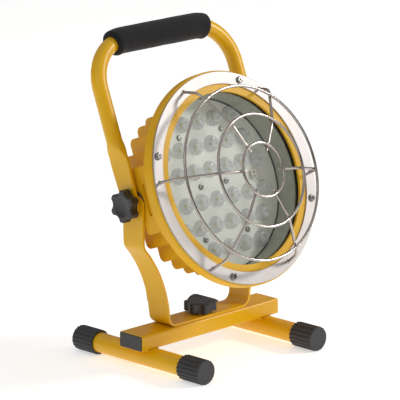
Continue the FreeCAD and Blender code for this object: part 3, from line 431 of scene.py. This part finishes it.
def make_finishes(look):
    """Every finish, by the record's slot."""
    return {
        "yellow_paint": powder_coated_steel("powder_coated_steel", look.yellow, 1.6, 0.34),
        "yellow_cast": coated_die_casting(look.yellow_casting),
        "stainless": turned_stainless(look.stainless),
        "stainless_wire": drawn_stainless(look.wire),
        "zinc_steel": bright_zinc(look.zinc),
        "black_rubber": moulded_rubber(look.rubber),
        "black_nylon": moulded_nylon(look.nylon),
        "black_foam": closed_cell_foam(look.foam),
        "clear_glass": tempered_glass(),
        "clear_acrylic": clear_acrylic(look.lens),
        "board_white": white_solder_mask(look.board),
        # mid-grey ABS with an eroded grain
        "sleeve_grey": plain_moulding("grey_abs", look.sleeve, 0.5, 0.8),
        # silicone loaded with yellow phosphor
        "led_phosphor": plain_moulding("phosphor_silicone", linear("#E9D66B"), 0.35, 0.5),
        # woven glass and epoxy under green mask
        "green_board": plain_moulding("glass_epoxy_laminate", linear("#2F6B45"), 0.35, 1.2),
        # polyester tape round a ferrite core
        "copper_coil": plain_moulding("taped_ferrite", linear("#C9A53A"), 0.4, 1.0),
        # shrunk PVC sleeve on an aluminium can
        "can_black": plain_moulding("pvc_sleeve", linear("#1F2A44"), 0.25, 2.0),
        # red PVC insulation
        "wire_red": plain_moulding("pvc_insulation", linear("#A83A2E"), 0.35, 1.0),
        # natural nylon, slightly yellow
        "terminal_cream": plain_moulding("natural_nylon", linear("#CFCBBE"), 0.4, 0.8),
        # pressed vulcanised fibre
        "fibre_washer": plain_moulding("vulcanised_fibre", linear("#5A4A3C"), 0.7, 0.8),
    }


def finish_named(name):
    """A finish that the finishes operator has made."""
    found = bpy.data.materials.get(name)
    if found is None:
        raise RuntimeError(f"the finish {name} is missing: run the finishes first")
    return found


# ---- mesh helpers

def new_piece(name, mesh, finish_name, body):
    """Turns a bmesh into a smooth-shaded object that rides on a body."""
    data = bpy.data.meshes.new(name)
    mesh.to_mesh(data)
    mesh.free()
    data.shade_smooth()
    piece = bpy.data.objects.new(name, data)
    bpy.context.scene.collection.objects.link(piece)
    data.materials.append(finish_named(finish_name))
    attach(piece, body)
    return piece


def closed_up(mesh):
    """Merges doubles and points every face outwards."""
    bmesh.ops.remove_doubles(mesh, verts=mesh.verts, dist=1e-6)
    bmesh.ops.recalc_face_normals(mesh, faces=mesh.faces)


def lamp_points(name):
    """The corners of a CAD piece of the lamp, in the upright lamp's own coordinates."""
    upright = LAMP_PLACE.inverted()
    return [upright @ vert.co for vert in frame["nodes"][name].data.vertices]


def lathed(mesh, centre, outline, steps, closed=False):
    """Spins (radius, depth) points about a line along Y."""
    corners = [mesh.verts.new(centre + Vector((r, y, 0))) for r, y in outline]
    ends = corners[1:] + corners[:1] if closed else corners[1:]
    edges = [mesh.edges.new(pair) for pair in zip(corners, ends)]
    bmesh.ops.spin(mesh, geom=corners + edges, cent=centre, axis=(0, 1, 0), angle=math.tau,
                   steps=steps, use_merge=True)


# ---- pieces

class WORKLIGHT_OT_finishes(bpy.types.Operator):
    """Give every CAD piece its finish"""
    bl_idname = "worklight.finishes"
    bl_label = "Finishes"

    def execute(self, context):
        finishes = make_finishes(context.scene.worklight_finishes)
        slots = {part["node"]: part["material_slot"] for part in RECORD["subparts"]}
        wires = ("guard_spokes", "guard_hoop_outer", "guard_hoop_middle", "guard_hoop_inner")
        for name, node in frame["nodes"].items():
            slot = "stainless_wire" if name in wires else slots[name]
            node.data.materials.clear()
            node.data.materials.append(finishes[slot])
        return {"FINISHED"}


class WORKLIGHT_OT_grip(bpy.types.Operator):
    """Make the foam grip over the handle's tube"""
    bl_idname = "worklight.grip"
    bl_label = "Foam grip"

    def execute(self, context):
        size = context.scene.worklight_grip
        mesh = bmesh.new()
        bend_centre = Vector((size.half_width - size.bend, 0, size.height - size.bend))
        sweep = size.sweep - size.rounding / size.bend
        loop = bmesh.ops.create_circle(mesh, cap_ends=False, segments=48,
                                       radius=size.radius)["verts"]
        bmesh.ops.rotate(mesh, verts=loop, cent=(0, 0, 0),
                         matrix=Matrix.Rotation(math.pi / 2, 3, "Y"))
        bmesh.ops.translate(mesh, verts=loop, vec=(bend_centre.x, 0, size.height))
        bmesh.ops.rotate(mesh, verts=loop, cent=bend_centre, matrix=Matrix.Rotation(sweep, 3, "Y"))
        first = list({e for v in loop for e in v.link_edges})
        steps = max(6, round(sweep / math.radians(3)))
        out = bmesh.ops.spin(mesh, geom=first, cent=bend_centre, axis=(0, -1, 0), angle=sweep,
                             steps=steps)["geom_last"]
        out = self.run_level(mesh, out, 2 * bend_centre.x, 60)
        other = Vector((-bend_centre.x, 0, bend_centre.z))
        out = bmesh.ops.spin(mesh, geom=out, cent=other, axis=(0, -1, 0), angle=sweep,
                             steps=steps)["geom_last"]
        last = [g for g in out if isinstance(g, bmesh.types.BMEdge)]
        axis = Vector((math.cos(sweep), 0, -math.sin(sweep)))
        self.round_end(mesh, first, axis, size)
        self.round_end(mesh, last, Vector((-axis.x, 0, axis.z)), size)
        closed_up(mesh)
        place = Matrix.Translation(PIVOT) @ Matrix.Rotation(-size.lean, 4, "X")
        bmesh.ops.transform(mesh, matrix=place, verts=mesh.verts)
        piece = new_piece("grip_foam", mesh, "closed_cell_foam", "handle")
        self.soften(piece)
        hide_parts("foam_grip")
        return {"FINISHED"}

    def run_level(self, mesh, geom, length, steps):
        """Carries the loop along -X in short steps, so that the foam can be uneven."""
        for _ in range(steps):
            edges = [g for g in geom if isinstance(g, bmesh.types.BMEdge)]
            made = bmesh.ops.extrude_edge_only(mesh, edges=edges)["geom"]
            verts = [g for g in made if isinstance(g, bmesh.types.BMVert)]
            bmesh.ops.translate(mesh, verts=verts, vec=(-length / steps, 0, 0))
            geom = verts + [g for g in made if isinstance(g, bmesh.types.BMEdge)]
        return geom

    def round_end(self, mesh, edges, outward, size):
        """Rolls the open rim round to the tube, as the cut end of a foam sleeve does."""
        centre = sum((v.co for e in edges for v in e.verts), Vector()) / (2 * len(edges))
        reach = size.radius
        for step in range(1, ROLL_STEPS + 1):
            turn = step / ROLL_STEPS * math.pi / 2
            wanted = size.radius - size.rounding * (1 - math.cos(turn))
            ahead = size.rounding * (math.sin(turn) - math.sin(turn - math.pi / 2 / ROLL_STEPS))
            edges, reach = self.next_loop(mesh, edges, centre, outward, wanted / reach,
                                          ahead), wanted
            centre = centre + outward * ahead
        bore = size.tube + HAIR_GAP
        edge = size.tube + 1.2 * MM
        for wanted, ahead in ((edge, -0.1 * MM), (bore, -0.9 * MM), (bore, -5 * MM)):
            edges, reach = self.next_loop(mesh, edges, centre, outward, wanted / reach,
                                          ahead), wanted
            centre = centre + outward * ahead

    def next_loop(self, mesh, edges, centre, outward, grow, ahead):
        """Extrudes a loop, scales it about its centre and moves it along its axis."""
        made = bmesh.ops.extrude_edge_only(mesh, edges=edges)["geom"]
        verts = [g for g in made if isinstance(g, bmesh.types.BMVert)]
        for vert in verts:
            vert.co = centre + (vert.co - centre) * grow + outward * ahead
        return [g for g in made if isinstance(g, bmesh.types.BMEdge)]

    def soften(self, piece):
        """Gives the sleeve the slight unevenness of foam that was pushed on to a tube."""
        swell = bpy.data.textures.new("foam_swell", "CLOUDS")
        swell.noise_scale = 0.03
        bulge = piece.modifiers.new("swell", "DISPLACE")
        bulge.texture = swell
        bulge.texture_coords = "LOCAL"
        bulge.strength = 0.7 * MM
        bulge.mid_level = 0.75


class WORKLIGHT_OT_stand_welds(bpy.types.Operator):
    """Lay rippled weld beads where the crossbar sits on the legs"""
    bl_idname = "worklight.stand_welds"
    bl_label = "Stand welds"

    def execute(self, context):
        low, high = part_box("stand_welds")
        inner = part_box("left_leg")
        mesh = bmesh.new()
        leg_x = (inner[0][0] + inner[1][0]) / 2
        leg_r = (inner[1][0] - inner[0][0]) / 2
        reach = leg_r * 0.62  # where the bar's underside and the round leg leave room for a bead
        for side in (-1, 1):
            for flank in (-1, 1):
                start = Vector((side * leg_x + flank * reach, low[1], high[2] - 1.1 * MM))
                self.bead(mesh, start, high[1] - low[1])
        closed_up(mesh)
        piece = new_piece("stand_weld_beads", mesh, "powder_coated_steel", "stand")
        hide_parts("stand_welds")
        return {"FINISHED"}

    def bead(self, mesh, start, length):
        """One bead along +Y: a bar whose girth swells and shrinks with each puddle of weld."""
        radius = 2.3 * MM
        puddle = 2.6 * MM
        waist = 0.82
        ripple = 0.18
        known = len(mesh.verts)
        verts = bmesh.ops.create_cone(mesh, cap_ends=True, cap_tris=False, segments=12,
                                      radius1=radius, radius2=radius, depth=length)["verts"]
        bmesh.ops.rotate(mesh, verts=verts, cent=(0, 0, 0),
                         matrix=Matrix.Rotation(math.pi / 2, 3, "X"))
        edges = {e for v in verts for e in v.link_edges}
        sides = [e for e in edges if abs(e.verts[0].co.y - e.verts[1].co.y) > radius]
        bmesh.ops.subdivide_edges(mesh, edges=sides, cuts=BEAD_SLICES)
        verts = mesh.verts[known:]
        for vert in verts:
            along = vert.co.y + length / 2
            swell = waist + ripple * abs(math.sin(math.pi * along / puddle))
            ends = min(1, along / (3 * radius) + 0.45, (length - along) / (3 * radius) + 0.45)
            vert.co.x *= swell * ends
            vert.co.z *= swell * ends
        bmesh.ops.translate(mesh, verts=verts, vec=start + Vector((0, length / 2, 0)))


class WORKLIGHT_OT_guard_welds(bpy.types.Operator):
    """Put a spot weld at every crossing of the guard's wires"""
    bl_idname = "worklight.guard_welds"
    bl_label = "Guard welds"

    def execute(self, context):
        size = context.scene.worklight_guard
        hoops = ((size.outer_radius, size.outer_height), (size.middle_radius, size.middle_height),
                 (size.inner_radius, size.inner_height))
        crossing = (1.5, 1.1, 1.15)  # how far each spot is drawn out, against the wire's radius
        foot = (1.65, 0.55, 1.65)
        mesh = bmesh.new()
        for radius, height in hoops:
            self.spots(mesh, size, radius, -size.ahead - height + size.wire, crossing)
        self.spots(mesh, size, size.foot_radius, -size.ahead, foot)
        closed_up(mesh)
        bmesh.ops.transform(mesh, matrix=LAMP_PLACE, verts=mesh.verts)
        new_piece("guard_spot_welds", mesh, "polished_stainless_wire", "lamp")
        return {"FINISHED"}

    def spots(self, mesh, size, radius, depth, stretch):
        """A ring of flattened blobs, one for each spoke."""
        for i in range(size.spokes):
            turn = Matrix.Rotation(size.first_spoke + math.tau / size.spokes * i, 4, "Y")
            shape = Matrix.Diagonal((*stretch, 1))
            place = turn @ Matrix.Translation((0, depth, radius)) @ shape
            bmesh.ops.create_icosphere(mesh, subdivisions=2, radius=size.wire, matrix=place)


class WORKLIGHT_OT_lenses(bpy.types.Operator):
    """Make the optics, each with a rounded rim and a dimple in its top"""
    bl_idname = "worklight.lenses"
    bl_label = "Lenses"

    def execute(self, context):
        size = context.scene.worklight_lens
        mesh = bmesh.new()
        for place in self.places():
            lathed(mesh, place, self.outline(size), LENS_SIDES)
        closed_up(mesh)
        bmesh.ops.transform(mesh, matrix=LAMP_PLACE, verts=mesh.verts)
        piece = new_piece("dimpled_lenses", mesh, "clear_acrylic", "lamp")
        piece.data.set_sharp_from_angle(angle=math.radians(50))
        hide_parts("led_lenses")
        return {"FINISHED"}

    def places(self):
        """The middle of each CAD optic's front, found from the pieces that hang together."""
        copy = bmesh.new()
        copy.from_mesh(frame["nodes"]["led_lenses"].data)
        bmesh.ops.remove_doubles(copy, verts=copy.verts, dist=1e-6)
        bmesh.ops.transform(copy, matrix=LAMP_PLACE.inverted(), verts=copy.verts)
        left = set(copy.verts)
        found = []
        while left:
            group = [left.pop()]
            for vert in group:
                near = {edge.other_vert(vert) for edge in vert.link_edges} & left
                left -= near
                group.extend(near)
            spans = [[v.co[axis] for v in group] for axis in range(3)]
            found.append(Vector(((min(spans[0]) + max(spans[0])) / 2, min(spans[1]),
                                 (min(spans[2]) + max(spans[2])) / 2)))
        copy.free()
        return sorted(found, key=lambda place: (round(place.z, 4), round(place.x, 4)))

    def outline(self, size):
        """From the middle of the dimple, over the rim and down the wall to the base."""
        foot = size.height - size.rim
        seat = size.height - HAIR_GAP
        r = size.dimple_radius
        d = size.dimple_depth
        edge = size.rounding
        ledge = 0.9 * MM
        return [(0, d), (0.5 * r, 0.88 * d), (0.8 * r, 0.55 * d), (r, 0.12 * d), (1.15 * r, 0),
                (size.top - edge, 0.1 * edge), (size.top - 0.35 * edge, 0.4 * edge),
                (size.top, edge), (size.base - ledge, foot), (size.base, foot), (size.base, seat),
                (0, seat)]


class WORKLIGHT_OT_board_seal(bpy.types.Operator):
    """Put a black ring round the LED board, where the wall of the lamp meets it. Its black is painted shade: it
    fills the narrow gap there, where the real lamp has only shadow.
    """
    bl_idname = "worklight.board_seal"
    bl_label = "Board seal"

    def execute(self, context):
        size = context.scene.worklight_lens
        board = min(point.y for point in lamp_points("led_board"))
        wall = max(point.x for point in lamp_points("reflector_sleeve"))
        outer = wall - size.sleeve_wall - HAIR_GAP
        inner = outer - size.shade_seal_width
        front = board - size.shade_seal_height
        back = board - HAIR_GAP
        lip = 0.3 * size.shade_seal_width
        mesh = bmesh.new()
        lathed(mesh, Vector((0, 0, 0)), [(inner, back), (inner, front + lip), (inner + lip, front),
                                         (outer, front), (outer, back)], SHADE_SEAL_SIDES, closed=True)
        closed_up(mesh)
        bmesh.ops.transform(mesh, matrix=LAMP_PLACE, verts=mesh.verts)
        # dark ring that paints the shade of the gap round the board
        new_piece("board_seal", mesh, "moulded_rubber", "lamp")
        return {"FINISHED"}


class WORKLIGHT_OT_stage(bpy.types.Operator):
    """Set the floor, the lights and the camera"""
    bl_idname = "worklight.stage"
    bl_label = "Stage"

    def execute(self, context):
        size = context.scene.worklight_stage
        self.floor(size)
        self.lights(context, size)
        self.camera(context, size)
        return {"FINISHED"}

    def floor(self, size):
        """A wide pale floor at the height of the feet."""
        mesh = bmesh.new()
        bmesh.ops.create_grid(mesh, x_segments=4, y_segments=4, size=FLOOR_REACH)
        data = bpy.data.meshes.new("floor")
        mesh.to_mesh(data)
        mesh.free()
        made, tree = material("pale_floor")
        cloud = noise(tree, 400.0, 2.0)
        surface(tree, {"Roughness": 0.9, "Specular IOR Level": 0.1, "Emission Color": (1, 1, 1, 1),
                       "Emission Strength": 0.5},
                Base_Color=tinted(tree, cloud.outputs["Fac"], size.floor, 0.995, 1.0))
        data.materials.append(made)
        floor = bpy.data.objects.new("floor", data)
        bpy.context.scene.collection.objects.link(floor)

    def lights(self, context, size):
        """A key light from the right, a big soft fill from the left, a sky that is dark below."""
        context.scene.view_settings.view_transform = "Standard"
        world = bpy.data.worlds.new("studio")
        context.scene.world = world
        world.use_nodes = True
        sky = world.node_tree.nodes["Background"]
        sky.inputs["Strength"].default_value = size.sky
        tree = world.node_tree
        where = add(tree, "ShaderNodeTexCoord").outputs["Generated"]
        split = add(tree, "ShaderNodeSeparateXYZ", Vector=where)
        height = spread(tree, split.outputs["Z"], 0.0, 1.0, 0.0, 0.75)
        ramp = add(tree, "ShaderNodeValToRGB", Fac=height.outputs[0])
        ramp.color_ramp.elements[0].color = (0.06, 0.06, 0.065, 1)
        ramp.color_ramp.elements[1].color = (1, 1, 1, 1)
        tree.links.new(ramp.outputs["Color"], sky.inputs["Color"])
        self.lamp("key", (1.98, -1.66, 1.52), 0.5, size.key_power)
        self.lamp("fill", (-2.2, -0.6, 1.5), 1.4, size.fill_power)

    def lamp(self, name, place, width, power):
        """A square soft light that points at the middle of the object."""
        light = bpy.data.lights.new(name, "AREA")
        light.shape = "SQUARE"
        light.size = width
        light.energy = power
        holder = bpy.data.objects.new(name, light)
        bpy.context.scene.collection.objects.link(holder)
        holder.location = place
        aim = PIVOT - Vector(place)
        holder.rotation_euler = aim.to_track_quat("-Z", "Y").to_euler()

    def camera(self, context, size):
        """A long lens that looks a little down on the object from its front left."""
        lens = bpy.data.cameras.new("camera")
        lens.lens = size.focal
        lens.sensor_width = 36
        lens.clip_end = 40
        holder = bpy.data.objects.new("camera", lens)
        context.scene.collection.objects.link(holder)
        turn = Matrix.Rotation(-size.camera_turn, 4,
                               "Z") @ Matrix.Rotation(math.pi / 2 - size.camera_dip, 4, "X")
        holder.matrix_world = (Matrix.Translation(size.camera_place) @ turn
                               @ Matrix.Rotation(size.camera_roll, 4, "Z"))
        context.scene.camera = holder


class WORKLIGHT_PT_panel(bpy.types.Panel):
    """The work light's settings and steps"""
    bl_idname = "WORKLIGHT_PT_panel"
    bl_label = "LED work light"
    bl_space_type = "VIEW_3D"
    bl_region_type = "UI"
    bl_category = "Work light"

    def draw(self, context):
        for step in STEPS:
            self.layout.operator(step.bl_idname)
        for name, group in SETTINGS.items():
            column = self.layout.column(align=True)
            for key in group.__annotations__:
                column.prop(getattr(context.scene, name), key)


STEPS = (WORKLIGHT_OT_finishes, WORKLIGHT_OT_grip, WORKLIGHT_OT_stand_welds,
         WORKLIGHT_OT_guard_welds, WORKLIGHT_OT_lenses, WORKLIGHT_OT_board_seal, WORKLIGHT_OT_stage)
SETTINGS = {"worklight_finishes": FinishSettings, "worklight_grip": GripSettings,
            "worklight_guard": GuardSettings, "worklight_lens": LensSettings,
            "worklight_stage": StageSettings}


def register():
    for group in (*SETTINGS.values(), *STEPS, WORKLIGHT_PT_panel):
        bpy.utils.register_class(group)
    for name, group in SETTINGS.items():
        setattr(bpy.types.Scene, name, bpy.props.PointerProperty(type=group))


def unregister():
    for name in SETTINGS:
        delattr(bpy.types.Scene, name)
    for group in (WORKLIGHT_PT_panel, *STEPS[::-1], *list(SETTINGS.values())[::-1]):
        bpy.utils.unregister_class(group)


def main():
    register()
    bpy.ops.worklight.finishes()
    bpy.ops.worklight.grip()
    bpy.ops.worklight.stand_welds()
    bpy.ops.worklight.guard_welds()
    bpy.ops.worklight.lenses()
    bpy.ops.worklight.board_seal()
    bpy.ops.worklight.stage()


if __name__ == "__main__":
    main()
